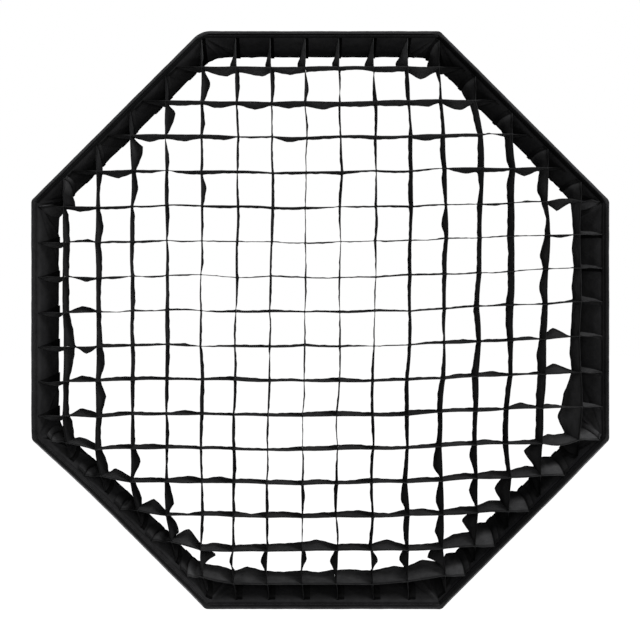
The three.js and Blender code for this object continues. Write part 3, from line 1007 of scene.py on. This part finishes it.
def hook_tape(side, name):
    phases = rng.uniform(0, 2 * np.pi, (2, 4))
    across = np.concatenate([-TAPE_EDGE[::-1], np.linspace(-9, 9, 13), TAPE_EDGE])
    share = np.linspace(-1, 1, 121)
    lines, uvs = [], []
    for v in across:
        into = max(0.0, abs(v) - (TAPE_WIDTH / 2 - TAPE_CORNER))
        half = TAPE_HALF - (TAPE_CORNER - math.sqrt(max(0.0, TAPE_CORNER**2 - into**2)))
        s = share * half
        swell = HOOKS_HIGH if abs(v) <= TAPE_EDGE[0] else 0.0
        height = TAPE_THICK / 2 + swell / 2 + 0.12 * ripple(s, (23, 37, 61, 15), phases[0])
        lines.append(on_tape(side, s, v, height))
        uvs.append(np.stack([s + UV_MIDDLE, np.full_like(s, v + TAPE_WIDTH / 2)], axis=1))
    points = np.concatenate(lines)
    quads = grid_quads(len(across), len(share))
    obj = sheet_object(f"hook_tape_cloth_{name}", points, quads, np.concatenate(uvs), 1.5, HOOKS)
    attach(obj, "root")
    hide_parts(f"hook_tape_{name}")


for side, name in enumerate(SIDES):
    hook_tape(side, name)

# Thread: each stitch is a short six-sided capsule, given by rings of (share of the length from its middle,
# share of the radius). Rows of stitches are (places, direction).
STITCH_RINGS = ((-0.5, 0.25), (-0.42, 0.8), (-0.2, 1.0), (0.2, 1.0), (0.42, 0.8), (0.5, 0.25))
STITCH_STEP = 3.4


def thread_object(name, rows, length, radius):
    places = np.concatenate([row for row, _ in rows])
    directions = unit_rows(np.concatenate([np.repeat([way], len(row), axis=0) for row, way in rows]))
    helper = np.where(np.abs(directions[:, 1:2]) < 0.9, [[0.0, 1.0, 0.0]], [[1.0, 0.0, 0.0]])
    side_one = unit_rows(np.cross(directions, helper))
    side_two = np.cross(directions, side_one)
    template, faces = [], []
    for at, wide in STITCH_RINGS:
        for k in range(6):
            angle = k * math.pi / 3
            template.append((at * length, wide * radius * math.cos(angle), wide * radius * math.sin(angle)))
    for ring in range(len(STITCH_RINGS) - 1):
        for k in range(6):
            a, b = ring * 6 + k, ring * 6 + (k + 1) % 6
            faces.append([a, b, b + 6, a + 6])
    faces.append([5, 4, 3, 2, 1, 0])
    last = 6 * (len(STITCH_RINGS) - 1)
    faces.append([last + k for k in range(6)])
    template = np.array(template)
    axes = np.stack([directions, side_one, side_two], axis=1)
    points = (places[:, None, :] + template @ axes).reshape(-1, 3)
    count = len(template)
    all_faces = [[v + k * count for v in face] for k in range(len(places)) for face in faces]
    uv = np.tile(template[:, :2], (len(places), 1)) * 3
    obj = make_object(name, points, all_faces, uv, THREAD)
    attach(obj, "root")


# Places of the stitches of a row, from its middle
def spaced(half):
    return np.linspace(-half, half, max(2, int(2 * half / STITCH_STEP)))


# The binding is sewn in its groove.
GROOVE = 421.1
GROOVE_Y = 0.22
along = spaced(421 * HALF_TAN - 3)
rows = []
for side in range(len(SIDES)):
    depth = GROOVE_Y + rolled(side, GROOVE, along)
    rows.append((to_grid(side, GROOVE, along, depth), side_way(side)))
thread_object("binding_thread", rows, length=2.7, radius=0.3)

# Each tape is sewn on along its four edges, and the wall's hem is sewn along the wall's inner face.
HEM_STITCH_Y = 45.2
HEM_REACH = wall_inradius(HEM_STITCH_Y)
TAPE_STITCH = 11.3
TAPE_TOP = TAPE_THICK + 0.05
along = spaced(TAPE_HALF - 3)
across = spaced(9.5)
hem_along = spaced((HEM_REACH - corner_radius(HEM_STITCH_Y)) * HALF_TAN)
rows = []
for side in range(len(SIDES)):
    for v in (-TAPE_STITCH, TAPE_STITCH):
        rows.append((on_tape(side, along, v, TAPE_TOP), side_way(side)))
    for u in (-TAPE_HALF + 1.6, TAPE_HALF - 1.6):
        turned = on_tape(side, 0.0, np.array([0.0, 1.0]), 0.0)
        rows.append((on_tape(side, u, across, TAPE_TOP), turned[1] - turned[0]))
    rows.append((to_grid(side, HEM_REACH - 0.05, hem_along, HEM_STITCH_Y), side_way(side)))
thread_object("wall_thread", rows, length=2.7, radius=0.28)

# Each crossing is tacked by a cross of two double stitches, at the front and at the rear edge.
TACK_OFF = 0.8
rows = []
for i in range(LINES):
    for j in range(LINES):
        if not (inside(front_x[i, j], front_z[i, j]) and inside(front_z[i, j], front_x[i, j])):
            continue
        for x, y, z in ((front_x[i, j], FRONT_Y, front_z[i, j]), (rear_x[i, j], REAR_Y, rear_z[i, j])):
            for turn in (1, -1):
                places = [(x + shift, y, z + shift * turn) for shift in (-TACK_OFF, TACK_OFF)]
                rows.append((places, (1, 0, -turn)))
thread_object("crossing_thread", rows, length=2.4, radius=0.24)


# One for rays from the camera, off something shiny or through something clear, else nought
def seen_directly(tree):
    path = node(tree, "ShaderNodeLightPath")
    seen = maths(tree, "MAXIMUM", path.outputs["Is Camera Ray"], path.outputs["Is Glossy Ray"])
    return maths(tree, "MAXIMUM", seen, path.outputs["Is Transmission Ray"])


# A floor well below, which glows pale only where it is seen
FLOOR_HALF = 12
FLOOR_Z = -1.1
floor_mesh = bpy.data.meshes.new("floor")
corners = ((-1, -1), (1, -1), (1, 1), (-1, 1))
floor_mesh.from_pydata([(FLOOR_HALF * a, FLOOR_HALF * b, FLOOR_Z) for a, b in corners], [], [(0, 1, 2, 3)])
floor = new_object("floor", floor_mesh)
floor_material = bpy.data.materials.new("pale_floor")
floor_mesh.materials.append(floor_material)
tree = empty_tree(floor_material)
floor_paint = node(tree, "ShaderNodeBsdfDiffuse", Color=(0.6, 0.6, 0.6, 1))
glow = maths(tree, "MULTIPLY", seen_directly(tree), 0.9)
floor_glow = node(tree, "ShaderNodeEmission", Strength=glow)
floor_sum = node(tree, "ShaderNodeAddShader")
feed(tree, floor_sum.inputs[0], floor_paint.outputs[0])
feed(tree, floor_sum.inputs[1], floor_glow.outputs[0])
node(tree, "ShaderNodeOutputMaterial", Surface=floor_sum.outputs[0])

# The surroundings look white, but light the cloth only dimly.
world = bpy.data.worlds.new("studio")
bpy.context.scene.world = world
tree = empty_tree(world)
strength = mapped(tree, seen_directly(tree), 0, 1, 0.2, 1.0)
world_light = node(tree, "ShaderNodeBackground", Color=(1, 1, 1, 1), Strength=strength)
node(tree, "ShaderNodeOutputWorld", Surface=world_light.outputs[0])

# Round lamps that face the middle of the grid: place, size and power
LAMPS = {
    "key": ((1.1, -1.5, 1.7), 0.8, 32),
    "front": ((0.2, -2.5, 0.2), 1.6, 26),
    "left": ((-2.0, -1.5, 0.3), 0.8, 9),
    "right": ((2.0, -1.5, 0.4), 0.8, 12),
    "low": ((-0.2, -1.6, -1.0), 0.8, 9),
}
for name, (location, size, power) in LAMPS.items():
    data = bpy.data.lights.new(name, "AREA")
    data.shape = "DISK"
    data.size = size
    data.energy = power
    lamp = new_object(name, data)
    lamp.location = location
    lamp.rotation_euler = (-Vector(location)).to_track_quat("-Z", "Y").to_euler()

# The camera looks straight along +Y. Its lens is shifted, since it stands above and left of the middle.
camera_data = bpy.data.cameras.new("camera")
camera = new_object("camera", camera_data)
camera.location = (-0.024, -1.8, 0.102)
camera.rotation_euler = (math.pi / 2, 0, 0)
camera_data.sensor_width = 36
camera_data.lens = 68.94
camera_data.shift_x = 0.0251
camera_data.shift_y = -0.1082
bpy.context.scene.camera = camera
bpy.context.scene.view_settings.view_transform = "Standard"
